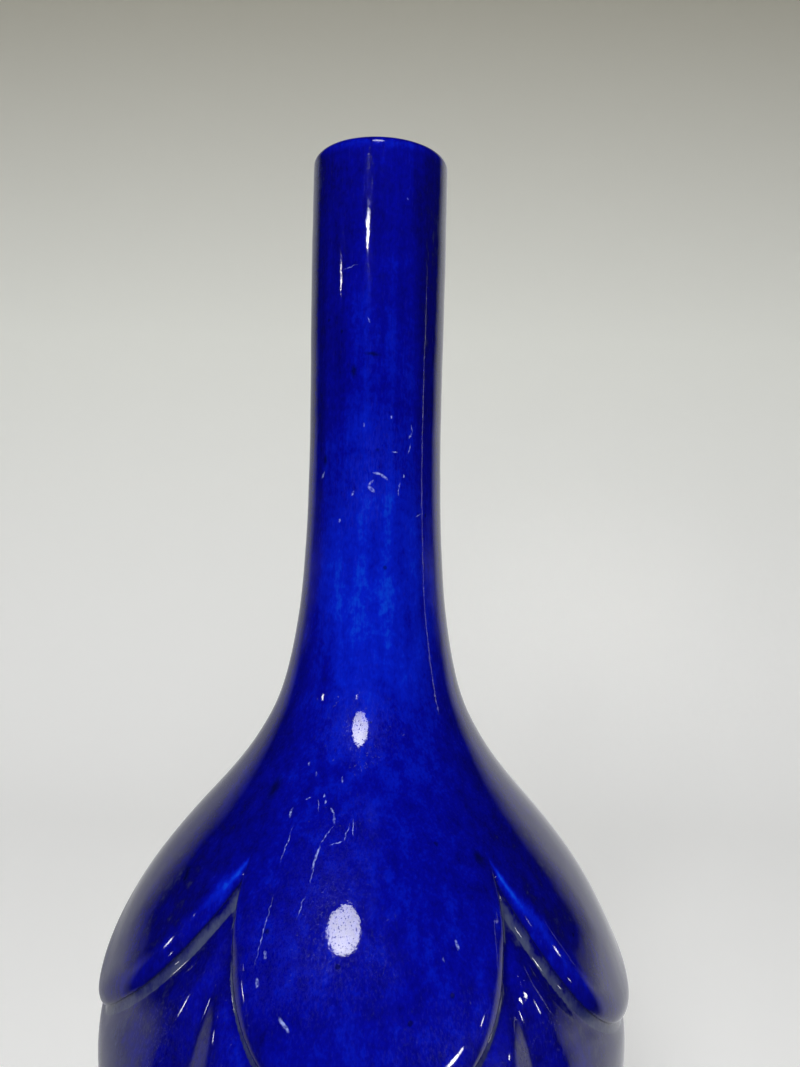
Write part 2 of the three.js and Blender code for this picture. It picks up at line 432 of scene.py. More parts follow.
class Skin:
    """Rows of points around the vase, gathered for one piece."""

    def __init__(self, angle: np.ndarray) -> None:
        """Starts without a row.

        Args:
            angle: Each column's angle.
        """
        self.angle = angle
        self.flat = np.ones_like(angle)
        self.rows: list[np.ndarray] = []
        self.depths: list[np.ndarray] = []

    def add(self, radius: np.ndarray | float, z: np.ndarray | float, depth: Any) -> None:
        """Adds a row. Each value is one number for all columns, or an array.

        Args:
            radius: The radii.
            z: The heights.
            depth: The glaze's depths, with the painted shade and light that some rows carry.
        """
        across = radius * self.flat
        row = [across * np.cos(self.angle), across * np.sin(self.angle), z * self.flat]
        self.rows.append(np.stack(row, axis=-1))
        self.depths.append(depth * self.flat)

    def build(self, name: str, poles: bool = False) -> bpy.types.Object:
        """Makes a closed mesh of the rows.

        Args:
            name: The piece's name.
            poles: True if the rows start and end on the axis and go up the outside, and False
                if the last joins the first and they go down the outside.

        Returns:
            The new object, shaded smooth, with its glaze depth, painted shade and light included,
            as an attribute.
        """
        rings, depth = np.array(self.rows), np.array(self.depths)
        if not poles:
            rings, depth = rings[::-1], depth[::-1]
        rows, columns, _ = rings.shape
        points, depths = rings.reshape(-1, 3), depth.reshape(-1)
        index = np.arange(rows * columns).reshape(rows, columns)
        upper = index[:-1] if poles else index
        lower = index[1:] if poles else np.roll(index, -1, axis=0)
        corners = [upper, lower, np.roll(lower, -1, axis=1), np.roll(upper, -1, axis=1)]
        faces: list[Sequence[int]] = np.stack(corners, axis=-1).reshape(-1, 4).tolist()
        for row, flip in ((0, False), (rows - 1, True)) if poles else ():
            pole = len(points)
            centre = np.array([[0.0, 0.0, rings[row, :, 2].mean()]])
            points = np.concatenate([points, centre])
            depths = np.append(depths, depth[row].mean())
            here, after = index[row], np.roll(index[row], -1)
            fan = np.stack([here, after, np.full(columns, pole)], axis=-1)
            faces += (fan[:, ::-1] if flip else fan).tolist()
        mesh = bpy.data.meshes.new(name)
        mesh.from_pydata((points * MM).tolist(), [], faces)
        layer = mesh.attributes.new(DEPTH_AND_SHADE_ATTRIBUTE, "FLOAT", "POINT")
        layer.data.foreach_set("value", depths.astype(np.float32))
        mesh.polygons.foreach_set("use_smooth", np.ones(len(faces), dtype=bool))
        mesh.validate()
        mesh.update()
        piece = bpy.data.objects.new(name, mesh)
        bpy.context.scene.collection.objects.link(piece)
        return piece


def bend(
    start: np.ndarray, first: np.ndarray, second: np.ndarray, end: np.ndarray, count: int
) -> np.ndarray:
    """Points on a cubic curve through arrays of [..., 2] controls.

    Args:
        start: Where it starts.
        first: The control that it leaves towards.
        second: The control that it arrives from.
        end: Where it ends.
        count: How many points after the start.

    Returns:
        The points as [count, ..., 2].
    """
    t = np.linspace(0.0, 1.0, count + 1)[1:].reshape(-1, *([1] * start.ndim))
    s = 1.0 - t
    return s**3 * start + 3 * s * s * t * first + 3 * s * t * t * second + t**3 * end


@dataclass
class NeckAndPetals:
    """The neck, the shoulder and the cape of petals: one skin, open down its middle."""

    form: VaseForm
    columns_per_petal: int = 72
    bore_rows: int = 28
    neck_rows: int = 96
    petal_rows: int = 50
    edge_rows: int = 15
    hem_rows: int = 14
    back_rows: int = 14
    lip_rows: tuple[int, int] = (8, 10)  # inside and outside
    lip_round: float = 1.5
    edge_width: float = 4.8  # over which a petal's edge rounds back
    edge_round: float = 1.9  # how far it rounds back
    rim_ends: tuple[float, float] = (0.75, 0.98)  # shares of half a petal
    hem_fillet: float = 1.6  # where the underside runs into the body
    hem_in: float = 0.6  # the share of the way in at which its curve leaves the edge
    hem_up: float = 0.35  # and how far up
    hem_straight: float = 0.75  # the share of the fillet in which it arrives
    hem_sinks: tuple[tuple[float, float], ...] = ((0.5, 0.03), (1.0, 0.08))  # down, in
    tuck: float = 1.6  # how far the hem goes on down, out of sight
    tuck_depth: float = 1.4
    below_seam: float = 0.5  # how far under the shoulder's seam the hidden back ends
    lip_coat: float = 0.40  # depths of the glaze, where form.coat is the common one
    lip_fade: float = 0.98
    lip_fades: tuple[float, float] = (135.0, 180.0)  # degrees over the lip from outside
    rim_thinner: float = 0.06
    notch_thinner: float = 0.26
    thin_beside: tuple[float, float] = (0.97, 0.15)  # share of half a petal, and reach
    thin_above: tuple[float, float] = (2.5, 0.9)  # distance up from the edge, and reach
    edge_coat: float = 0.30
    # painted shadow: the underside is drawn darker just under a petal's edge
    under_edge_shadow: float = 0.38
    under_edge_shadow_span: tuple[float, float] = (0.05, 0.35)  # shares of the hem's curve over which the painted shadow under the edge deepens
    notch_pool: float = 0.20
    pool_at: tuple[float, float] = (0.85, 0.3)  # share of the hem's curve, and reach
    ground_coat: float = 0.62
    ground_pool: float = 0.22

    def build(self) -> bpy.types.Object:
        """Makes the piece.

        Returns:
            The object.
        """
        form = self.form
        skin = Skin(form.angles(self.columns_per_petal))
        angle = skin.angle
        u, petal = form.across(angle), form.petal_at(angle)
        edge, lean, rim_lean = form.edge(u, petal), form.lean(u, petal), form.rim_lean(u, petal)
        for z in np.linspace(form.shoulder_seam, form.height - 2 * self.lip_round, self.bore_rows):
            skin.add(form.inside(z), z, form.white_coat)
        middle = form.outline(form.height) - self.lip_round
        inner = float(form.inside(form.height)) + self.lip_round
        for turn in np.radians(np.linspace(180, 90, self.lip_rows[0])):
            z = form.height - self.lip_round * (1 - math.sin(turn))
            fade = self.lip_fade * step(np.array(math.degrees(turn)), *self.lip_fades)
            skin.add(inner + self.lip_round * math.cos(turn), z, self.lip_coat - fade)
        for turn in np.radians(np.linspace(90, 0, self.lip_rows[1])):
            z = form.height - self.lip_round * (1 - math.sin(turn))
            radius = middle + self.lip_round * math.cos(turn) + form.wobble(angle, z)
            skin.add(radius, z, self.lip_coat)
        heights = np.linspace(form.height - self.lip_round, form.shoulder_seam, self.neck_rows)
        for z in heights[1:, None] * skin.flat:
            skin.add(form.cape(angle, z), z, form.glaze(angle, z))
        start = edge + self.edge_width / rim_lean
        for share in np.linspace(0.0, 1.0, self.petal_rows)[1:]:
            z = form.shoulder_seam + share * (start - form.shoulder_seam)
            self.add_rim(skin, z, (z - edge) * rim_lean)
        for turn in np.radians(np.linspace(0, 90, self.edge_rows))[1:]:
            away = self.edge_width * (1 - math.sin(turn))
            back = self.edge_round * (1 - math.cos(turn))
            self.add_rim(skin, edge + away / rim_lean, away, back)
        self.tuck_in(skin, edge, lean)
        return skin.build("neck_and_petals")

    def add_rim(
        self, skin: Skin, z: np.ndarray, away: np.ndarray | float, back: float = 0.0
    ) -> None:
        """Adds a row of the petals' outside.

        Args:
            skin: The rows so far.
            z: Heights.
            away: Distance up from the petals' edges.
            back: How far the row is rounded back.
        """
        depth = self.form.glaze(skin.angle, z) - self.thinned(skin.angle, away)
        skin.add(self.rolled(skin.angle, z, away) - back, z, depth)

    def thinned(self, angle: np.ndarray, away: np.ndarray | float) -> np.ndarray:
        """How much thinner the glaze lies on the rolled rims, most beside the notches.

        Args:
            angle: Each column's angle.
            away: Distance up from the petal's edge.

        Returns:
            The loss of depth.
        """
        form = self.form
        share = np.array(form.rim_thin)[form.petal_at(angle)]
        (place, reach), (height, height_reach) = self.thin_beside, self.thin_above
        along = self.rim_thinner + self.notch_thinner * bell(form.across(angle) - place, reach)
        return share * along * bell(np.asarray(away - height), height_reach)

    def rolled(self, angle: np.ndarray, z: np.ndarray, away: np.ndarray | float) -> np.ndarray:
        """Radius of the petals with their rolled rims.

        Args:
            angle: Each column's angle.
            z: Heights.
            away: Distance up from the petal's edge.

        Returns:
            The radii.
        """
        form = self.form
        rise = form.rim_rise * (1.0 - step(form.across(angle), *self.rim_ends))
        return form.cape(angle, z) + rise * bell(np.asarray(away - form.rim_place), form.rim_width)

    def tuck_in(self, skin: Skin, edge: np.ndarray, lean: np.ndarray) -> None:
        """Adds the underside, its fillet onto the body, and the hidden back.

        Args:
            skin: The rows so far, whose last is the edge itself.
            edge: Height of the petal's edge at each column.
            lean: Cosine of the edge's slope there.
        """
        form, angle = self.form, skin.angle
        start = np.stack([self.rolled(angle, edge, 0.0) - self.edge_round, edge], axis=-1)
        foot_z = edge - self.hem_fillet / lean
        end = np.stack([form.body(angle, foot_z), foot_z], axis=-1)
        above = foot_z + self.hem_straight * self.hem_fillet / lean
        second = np.stack([form.body(angle, above), above], axis=-1)
        inward = -self.hem_in * (start[:, 0] - second[:, 0])
        first = start + np.stack([inward, self.hem_up / lean], axis=-1)
        pooled = step(form.across(angle), *form.to_notch)  # most glaze ran into the notches
        place, reach = self.pool_at
        for i, point in enumerate(bend(start, first, second, end, self.hem_rows)):
            share = (i + 1) / self.hem_rows
            pool = bell(np.array(share - place), reach) * pooled
            # painted shadow under the petal's edge, on the thin glaze of the edge itself
            glaze = self.edge_coat + self.under_edge_shadow * step(np.array(share), *self.under_edge_shadow_span)
            skin.add(point[:, 0], point[:, 1], glaze + self.notch_pool * pool)
        for fall, sink in (*self.hem_sinks, (self.tuck, self.tuck_depth)):
            z = foot_z - fall
            depth = self.ground_coat + self.ground_pool * pooled
            skin.add(form.body(angle, z) - sink, z, depth)
        top = form.shoulder_seam - self.below_seam
        low = foot_z - self.tuck
        for share in np.linspace(0.0, 1.0, self.back_rows)[1:]:
            z = low + share * (top - low)
            skin.add(form.body(angle, z) - self.tuck_depth, z, form.coat)


@dataclass
class LobedBody:
    """The body under the petals, with five lobes, a hollow and a floor."""

    form: VaseForm
    columns_per_petal: int = 72
    under_rows: int = 12
    lower_rows: int = 60
    upper_rows: int = 72
    hidden_rows: int = 10
    hollow_rows: int = 40
    floor_rows: int = 14
    floor: float = 5.0
    floor_round: float = 6.0
    floor_middle: float = 1.0  # radius of its last row, which a pole closes
    above_foot: float = 0.4
    under_middle: float = 2.0  # the same for the underside's first row
    under_gap: float = 0.5  # how far inside the foot's radius its last row lies
    above_notch: float = 1.0  # where the rows start that the petals hide
    edge_pool: float = 0.34  # how much deeper the glaze lies along the petals' edges
    tip_pool: float = 0.3  # how much of that is left under a tip
    pool_below: float = 0.3  # how far below the edge it starts to thin out
    pool_reach: float = 1.1
    groove_pool: float = 0.06
    groove_reach: float = 0.1  # as a share of half a petal

    def build(self) -> bpy.types.Object:
        """Makes the piece.

        Returns:
            The object.
        """
        form = self.form
        skin = Skin(form.angles(self.columns_per_petal))
        low, floor = form.foot_height + self.above_foot, form.foot_height + self.floor
        outer, covered = form.foot_radius - self.under_gap, form.notch + self.above_notch
        for radius in np.linspace(self.under_middle, outer, self.under_rows):
            skin.add(radius, low, form.white_coat)
        swing = np.linspace(0.0, math.pi / 2, self.lower_rows)
        lower = form.waist - (form.waist - low) * np.cos(swing)
        upper = np.linspace(form.waist, covered, self.upper_rows)[1:]
        hidden = np.linspace(covered, form.shoulder_seam, self.hidden_rows)[1:]
        share = step(form.across(skin.angle), *form.to_notch)
        pool = self.edge_pool * (self.tip_pool + (1.0 - self.tip_pool) * share)
        for z in np.concatenate([lower, upper, hidden])[:, None] * skin.flat:
            near = np.maximum(form.below_edge(skin.angle, z) - self.pool_below, 0.0)
            opened = form.groove(z)
            valley = bell(form.to_groove(skin.angle, opened), self.groove_reach) * opened
            depth = form.coat + pool * bell(near, self.pool_reach) + self.groove_pool * valley
            skin.add(form.body(skin.angle, z), z, depth)
        for z in np.linspace(form.shoulder_seam, floor + self.floor_round, self.hollow_rows):
            skin.add(form.inside(z), z, form.white_coat)
        last = float(form.inside(floor + self.floor_round))
        for turn in np.linspace(0.0, 1.0, self.floor_rows)[1:] * math.pi / 2:
            z = floor + self.floor_round * (1 - math.sin(turn))
            skin.add(last * math.cos(turn) + self.floor_middle, z, form.white_coat)
        return skin.build("lobed_body", poles=True)


@dataclass
class FootRing:
    """The foot ring, glazed outside and bare where it stands."""

    form: VaseForm
    columns: int = 240
    bottom_radius: float = 25.6
    wall: float = 5.0
    bottom_round: float = 1.0
    overlap: float = 2.2  # how far the glaze runs up over the body's joint
    top_sunk: float = 0.05  # how far its upper end lies under the body's glaze
    along_body: float = 1.6  # how far down it then follows the body
    curve: tuple[float, float] = (0.35, 0.6)  # its bend, in from the joint and down
    curve_end: tuple[float, float] = (0.5, 2.0)
    curve_rows: int = 10
    round_rows: int = 8
    inside_height: float = 4.0  # of a row inside the ring
    inside_above: float = 1.0  # how far above the joint the next one lies
    hidden_end: tuple[float, float] = (2.5, 0.5)  # in from the joint, down from the top
    glazed_rows: int = 19

    def build(self) -> bpy.types.Object:
        """Makes the piece.

        Returns:
            The object.
        """
        form = self.form
        skin = Skin(np.linspace(0.0, 2 * math.pi, self.columns, endpoint=False))
        top = form.foot_height + self.overlap
        low = top - self.along_body
        start = np.array([float(form.crest(np.array(top))) - self.top_sunk, top])
        first = np.array([float(form.crest(np.array(low))), low])
        joint = np.array([form.foot_radius, form.foot_height])
        controls = start, first, joint - self.curve, joint - self.curve_end
        section = [tuple(start)] + [tuple(p) for p in bend(*controls, self.curve_rows)]
        corner, inner = self.bottom_round, self.bottom_radius - self.wall
        for middle, turns in (
            (self.bottom_radius - corner, np.linspace(0, -90, self.round_rows)),
            (inner + corner, np.linspace(-90, -180, self.round_rows)),
        ):
            for turn in np.radians(turns):
                across, up = corner * math.cos(turn), corner * math.sin(turn)
                section.append((middle + across, corner + up))
        section += [(inner, self.inside_height), (inner, form.foot_height + self.inside_above)]
        section.append((form.foot_radius - self.hidden_end[0], top - self.hidden_end[1]))
        for i, (radius, z) in enumerate(section):
            skin.add(radius, z, form.coat if i < self.glazed_rows else form.white_coat)
        return skin.build("foot_ring_glazed")


def linear(colour: str) -> tuple[float, float, float, float]:
    """Turns an sRGB hex colour to linear.

    Args:
        colour: Six hex digits, with or without a leading hash.

    Returns:
        Red, green, blue and an alpha of 1.
    """
    digits = colour.lstrip("#")
    parts = [int(digits[i : i + 2], 16) / 255 for i in (0, 2, 4)]
    red, green, blue = (p / 12.92 if p <= 0.04045 else ((p + 0.055) / 1.055) ** 2.4 for p in parts)
    return red, green, blue, 1.0


def per_metre(size: float) -> float:
    """A texture scale for a feature of this size in millimetres."""
    return 1.0 / (size * MM)


@dataclass(frozen=True)
class Texture:
    """A cloudy unevenness in a finish."""

    size: float  # of its features, in millimetres
    detail: float  # octaves of finer features
    roughness: float = 0.6  # how strong the finer ones are
    stretch: float = 1.0  # scale up and down the vase; less than 1 draws the features out
    amount: float = 0.0  # how much it adds to the glaze's depth


@dataclass(frozen=True)
class Relief:
    """A relief too fine to model, which bends the gloss."""

    strength: float
    height: float  # in millimetres

    def settings(self) -> dict[str, float]:
        """The settings of a bump."""
        return {"Strength": self.strength, "Distance": self.height * MM}


@dataclass(frozen=True)
class Ramp:
    """A rise or fall between two values, held at both ends."""

    start: float
    end: float
    low: float = 0.0  # what it gives at the start
    high: float = 1.0  # what it gives at the end

    def settings(self) -> dict[str, float]:
        """The settings of a map range."""
        limits = self.start, self.end, self.low, self.high
        return dict(zip(("From Min", "From Max", "To Min", "To Max"), limits))


class Network:
    """The nodes of a material or a world."""

    def __init__(self, tree: bpy.types.NodeTree) -> None:
        """Clears the tree.

        Args:
            tree: The material's or world's node tree.
        """
        self.tree = tree
        tree.nodes.clear()
        self.coordinates = self.add("ShaderNodeTexCoord").outputs
        self.place = self.coordinates["Object"]

    def add(
        self,
        kind: str,
        settings: dict[str | int, Any] | None = None,
        stops: Sequence[tuple[float, str]] = (),
    ) -> bpy.types.Node:
        """Adds a node with its settings and links.

        Args:
            kind: The node's type.
            settings: Attributes of the node, and for its inputs, by name or index, a value or
                the node or socket that feeds it.
            stops: Places from 0 to 1 with sRGB hex colours, for a node with a colour band.

        Returns:
            The new node.
        """
        made = self.tree.nodes.new(kind)
        for key, value in (settings or {}).items():
            source = value.outputs[0] if isinstance(value, bpy.types.Node) else value
            if isinstance(source, bpy.types.NodeSocket):
                self.tree.links.new(source, made.inputs[key])
            elif isinstance(key, str) and hasattr(made, key):
                setattr(made, key, value)
            else:
                made.inputs[key].default_value = value
        for i, (spot, colour) in enumerate(stops):
            elements = made.color_ramp.elements
            element = elements[i] if i < len(elements) else elements.new(1.0)
            element.position = spot
            element.color = linear(colour)
        return made

    def cloudy(self, texture: Texture) -> bpy.types.NodeSocket:
        """Draws a cloudy pattern on the object.

        Args:
            texture: Its size, detail and stretch.

        Returns:
            The socket of its values, 0 to 1.
        """
        scale = (1.0, 1.0, texture.stretch)
        drawn = self.add("ShaderNodeMapping", {"Vector": self.place, "Scale": scale})
        size = {"Scale": per_metre(texture.size), "Detail": texture.detail}
        size["Roughness"] = texture.roughness
        return self.add("ShaderNodeTexNoise", {"Vector": drawn, **size}).outputs["Fac"]


def new_material(name: str) -> tuple[bpy.types.Material, Network]:
    """Starts a material.

    Args:
        name: The finish's name.

    Returns:
        The material and its empty network.
    """
    material = bpy.data.materials.new(name)
    material.use_nodes = True
    return material, Network(material.node_tree)


@dataclass(frozen=True)
class Mark:
    """A scratch, chip, bubble, spot or painted highlight on the vase, from one place to another.
    """

    start: tuple[float, float]  # degrees to the right of the front, and height in millimetres
    end: tuple[float, float]
    half_width: float
    least_depth: float = 2.0  # it reaches into the wall, so that the skin always meets it

    def away(self, net: Network, form: VaseForm, place: Any) -> bpy.types.NodeSocket:
        """How far a place is from the mark, drawn as a long thin ellipsoid.

        Args:
            net: Where to add the nodes.
            form: The vase's shape.
            place: The place.

        Returns:
            The socket of a distance that is 1 on the mark's outline and 0 in its middle.
        """
        start, end = form.spot(*self.start), form.spot(*self.end)
        along = (end - start).normalized()
        outward = Vector((start.x, start.y, 0.0)).normalized()
        side = outward.cross(along).normalized()
        half_length = (end - start).length / 2 + self.half_width
        size = (half_length, self.half_width, max(self.least_depth, self.half_width))
        settings = {
            "vector_type": "TEXTURE",
            "Vector": place,
            "Location": (start + end) / 2 * MM,
            "Rotation": Matrix((along, side, along.cross(side))).transposed().to_euler(),
            "Scale": Vector(size) * MM,
        }
        length = {"operation": "LENGTH", 0: net.add("ShaderNodeMapping", settings)}
        return net.add("ShaderNodeVectorMath", length).outputs["Value"]


@dataclass(frozen=True)
class CobaltGlaze:
    """Cobalt glaze on porcelain, dipped and fired at about 1280 degrees.

    The eye sees a deep blue glass: bright where it has run thin over a lip, grey and nearly
    black where it has pooled. Soft runs go down the neck, the glass is finely mottled, and
    years of handling have left specks and scratches that fray the lamps mirrored in it.
    """

    name: str = "cobalt_glaze_on_porcelain"
    porcelain: str = "#e4e8ea"  # clear glaze over white, in the bore and under the foot
    thin: str = "#0a4fd2"
    light: str = "#0218b2"
    body: str = "#010488"
    deep: str = "#010058"
    pooled: str = "#3f4664"
    pit: str = "#01031c"
    # pale colour of the scratches and of one painted highlight
    scuff_and_glint: str = "#93a0e2"
    ior: float = 1.5
    haze: Ramp = Ramp(0.60, 0.84, 1.0, 0.2)  # by the wear, the roughness under the glass skin
    haze_level: float = 0.11
    gloss: float = 0.03
    slant_shade: float = 0.32  # how much deeper the glass looks where it is seen aslant, which also paints shade down the sides
    runs: Texture = Texture(size=2.6, detail=3.0, stretch=0.06, amount=0.36)
    clouds: Texture = Texture(size=11.0, detail=3.0, amount=0.24)
    mottle: Texture = Texture(size=1.5, detail=3.0, amount=0.24)
    grain: Texture = Texture(size=0.45, detail=1.0, stretch=0.5, amount=0.18)
    streaks: Texture = Texture(size=0.32, detail=2.0, stretch=0.16)
    specks: Texture = Texture(size=0.24, detail=1.0, stretch=0.6)
    waves: Texture = Texture(size=16.0, detail=2.0)
    ragged: Texture = Texture(size=0.9, detail=2.0)  # what frays the outline of a mark
    broken: Texture = Texture(size=0.5, detail=2.0)  # what breaks up a scratch
    ripple: Relief = Relief(0.22, 0.8)
    skin: Relief = Relief(0.12, 0.1)
    fraying: Relief = Relief(1.0, 0.07)
    scoring: Relief = Relief(0.5, 0.1)
    rubbed: Ramp = Ramp(1.7, 0.1, 0.04)  # by the distance from a rubbed area
    rubbed_haze: float = 0.29
    speck_height: Ramp = Ramp(0.66, 0.76)
    mark_sway: float = 0.7  # how far a mark strays from its line
    scratch_edge: Ramp = Ramp(1.0, 0.6)
    scratch_breaks: Ramp = Ramp(0.40, 0.62, 0.12, 0.8)
    spot_edge: Ramp = Ramp(1.5, 0.3, 0.0, 0.75)
    pinhole_gap: float = 7.0
    pinhole_edge: Ramp = Ramp(0.12, 0.09, 0.0, 0.6)  # in shares of the gap
    pinhole_sway: float = 0.10
    # the scratches, and last among them one painted highlight
    scratches: tuple[Mark, ...] = (
        Mark((-22.2, 97.2), (-20.6, 97.6), 0.12),
        Mark((-26.2, 95.9), (-26.0, 94.6), 0.22),
        Mark((-17.3, 97.5), (-15.9, 95.7), 0.08),
        Mark((-12.0, 96.5), (-10.3, 95.6), 0.11),
        Mark((-10.3, 95.6), (-9.6, 94.5), 0.23),
        Mark((-9.7, 94.3), (-12.6, 91.7), 0.08),
        Mark((-12.7, 91.5), (-13.4, 88.5), 0.23),
        Mark((-13.0, 88.7), (-13.2, 86.9), 0.09),
        Mark((-13.5, 85.4), (-14.5, 82.2), 0.07),
        Mark((-10.0, 91.5), (-5.6, 92.3), 0.08),
        Mark((-5.6, 92.3), (-4.6, 94.2), 0.10),
        Mark((-3.2, 95.3), (-3.1, 92.8), 0.06),
        Mark((-23.4, 93.7), (-23.2, 88.5), 0.07),
        Mark((-21.9, 85.0), (-21.3, 75.9), 0.06),
        Mark((31.8, 163.8), (33.3, 162.6), 0.10),
        Mark((33.3, 162.6), (29.8, 161.3), 0.17),
        Mark((31.6, 160.4), (29.1, 158.3), 0.12),
        Mark((15.6, 158.4), (19.5, 158.5), 0.09),
        Mark((-44.7, 155.0), (-47.7, 153.7), 0.23),
        Mark((0.1, 153.0), (-3.2, 152.1), 0.27),
        Mark((-3.2, 152.1), (1.0, 151.0), 0.30),
        Mark((0.7, 154.5), (6.7, 154.2), 0.23),
        Mark((6.7, 154.2), (11.0, 153.4), 0.31),
        Mark((22.3, 152.9), (20.8, 150.5), 0.12),
        Mark((37.4, 146.6), (42.3, 147.1), 0.12),
        Mark((-29.0, 192.6), (-15.3, 193.6), 0.06),
        Mark((-6.3, 183.5), (-5.0, 182.6), 0.11),
        Mark((-14.3, 70.7), (-12.1, 69.3), 0.31),
        Mark((-26.1, 102.6), (-26.1, 102.3), 0.16),
        Mark((-21.3, 101.2), (-21.1, 100.8), 0.19),
        Mark((-9.4, 100.9), (-9.3, 100.1), 0.12),
        Mark((-15.4, 98.2), (-15.2, 97.9), 0.19),
        Mark((-14.5, 97.3), (-14.3, 97.0), 0.19),
        Mark((-8.1, 163.7), (-8.0, 163.2), 0.16),
        Mark((13.5, 165.3), (13.6, 164.9), 0.14),
        Mark((24.3, 206.5), (24.5, 206.2), 0.14),
        Mark((25.2, 154.3), (25.4, 153.9), 0.17),
        Mark((-15.9, 150.8), (-16.6, 150.4), 0.23),
        Mark((-26.8, 145.9), (-26.6, 145.3), 0.19),
        Mark((21.7, 79.6), (21.7, 78.8), 0.33),
        Mark((18.2, 77.9), (18.2, 77.5), 0.16),
        Mark((-19.9, 78.0), (-19.5, 77.3), 0.27),
        # painted highlight: a small glint on the dome's left
        Mark((-20.1, 74.6), (-19.8, 73.9), 0.36),
    )
    patches: tuple[Mark, ...] = (  # rubbed areas, full of finer scratches
        Mark((-30.0, 75.0), (-8.0, 78.0), 7.0),
        Mark((-14.0, 82.0), (-8.0, 90.0), 6.0),
        Mark((-10.0, 108.5), (2.0, 108.5), 4.5),
        Mark((16.0, 62.0), (30.0, 64.0), 8.0),
        Mark((-40.0, 62.0), (-28.0, 62.0), 6.0),
        Mark((-6.0, 150.0), (6.0, 158.0), 4.0),
    )
    spots: tuple[Mark, ...] = (
        Mark((-38.1, 98.8), (-37.9, 97.2), 1.0),
        Mark((-17.2, 174.0), (-17.2, 173.0), 0.5),
        Mark((-6.0, 176.8), (2.0, 176.6), 0.35),
        Mark((-44.2, 157.6), (-44.2, 156.6), 0.5),
        Mark((34.8, 89.3), (35.2, 88.5), 0.7),
        Mark((-53.1, 84.0), (-52.0, 83.0), 0.8),
    )

    def build(self, form: VaseForm) -> bpy.types.Material:
        """Makes the material.

        Args:
            form: The vase's shape, on which the marks lie.

        Returns:
            The material, which reads each piece's glaze depth with its painted shade and light.
        """
        material, net = new_material(self.name)
        net.add("ShaderNodeOutputMaterial", {"Surface": self.shader(net, form)})
        return material

    def shader(self, net: Network, form: VaseForm) -> bpy.types.Node:
        """Adds the glaze: a hazy blue depth under a skin of sharp gloss.

        Args:
            net: Where to add the nodes.
            form: The vase's shape.

        Returns:
            The shader.
        """
        mottle = net.cloudy(self.mottle)
        colour: Any = self.colour(net, mottle)
        for mask, tint in (
            (self.scratch_and_glint_mask(net, form), self.scuff_and_glint),
            (self.spotted(net, form), self.pit),
        ):
            mixed = {"data_type": "RGBA", 0: mask, 6: colour, 7: linear(tint)}
            colour = net.add("ShaderNodeMix", mixed).outputs[2]
        waves = net.cloudy(self.waves)
        ripple = net.add("ShaderNodeBump", {"Height": waves, **self.ripple.settings()})
        skin = {"Height": mottle, "Normal": ripple, **self.skin.settings()}
        patches = self.near(net, form, self.patches)
        rubbed = net.add("ShaderNodeMapRange", {"Value": patches, **self.rubbed.settings()})
        specks = net.add(
            "ShaderNodeMapRange",
            {"Value": net.cloudy(self.specks), **self.speck_height.settings()},
        )
        height = net.add("ShaderNodeMath", {"operation": "MULTIPLY", 0: specks, 1: rubbed})
        frayed = {
            "Height": height,
            "Normal": net.add("ShaderNodeBump", skin),
            **self.fraying.settings(),
        }
        streaks = net.cloudy(self.streaks)
        scored = {"Height": streaks, "Normal": ripple, **self.scoring.settings()}
        wear = net.add(
            "ShaderNodeMath",
            {"operation": "MULTIPLY_ADD", 0: rubbed, 1: self.rubbed_haze, 2: streaks},
        )
        return net.add(
            "ShaderNodeBsdfPrincipled",
            {
                "Base Color": colour,
                "IOR": self.ior,
                "Specular IOR Level": self.haze_level,
                "Roughness": net.add(
                    "ShaderNodeMapRange", {"Value": wear, **self.haze.settings()}
                ),
                "Normal": net.add("ShaderNodeBump", scored),
                "Coat Weight": 1.0,
                "Coat Roughness": self.gloss,
                "Coat IOR": self.ior,
                "Coat Normal": net.add("ShaderNodeBump", frayed),
            },
        )

    def colour(self, net: Network, mottle: bpy.types.NodeSocket) -> bpy.types.Node:
        """The glaze's blue, by how deep the eye looks into it, with the painted shade and light
        that the depth carries.

        Args:
            net: Where to add the nodes.
            mottle: Values of the fine mottling.

        Returns:
            The node that gives the colour.
        """
        # deeper where seen aslant, which also paints shade down the vase's sides
        slant = net.add("ShaderNodeLayerWeight", {"Blend": 0.5}).outputs["Facing"]
        depth = net.add("ShaderNodeAttribute", {"attribute_name": DEPTH_AND_SHADE_ATTRIBUTE}).outputs["Fac"]
        total = net.add(
            "ShaderNodeMath",
            {"operation": "MULTIPLY_ADD", 0: slant, 1: self.slant_shade, 2: depth},
        )
        for values, texture in (
            (net.cloudy(self.runs), self.runs),
            (net.cloudy(self.clouds), self.clouds),
            (mottle, self.mottle),
            (net.cloudy(self.grain), self.grain),
        ):
            centred = net.add("ShaderNodeMath", {"operation": "SUBTRACT", 0: values, 1: 0.5})
            total = net.add(
                "ShaderNodeMath",
                {"operation": "MULTIPLY_ADD", 0: centred, 1: texture.amount, 2: total},
            )
        stops = (
            (0.00, self.porcelain),
            (0.06, self.thin),
            (0.32, self.light),
            (0.50, self.body),
            (0.70, self.deep),
            (0.95, self.pooled),
        )
        return net.add("ShaderNodeValToRGB", {"Fac": total}, stops)

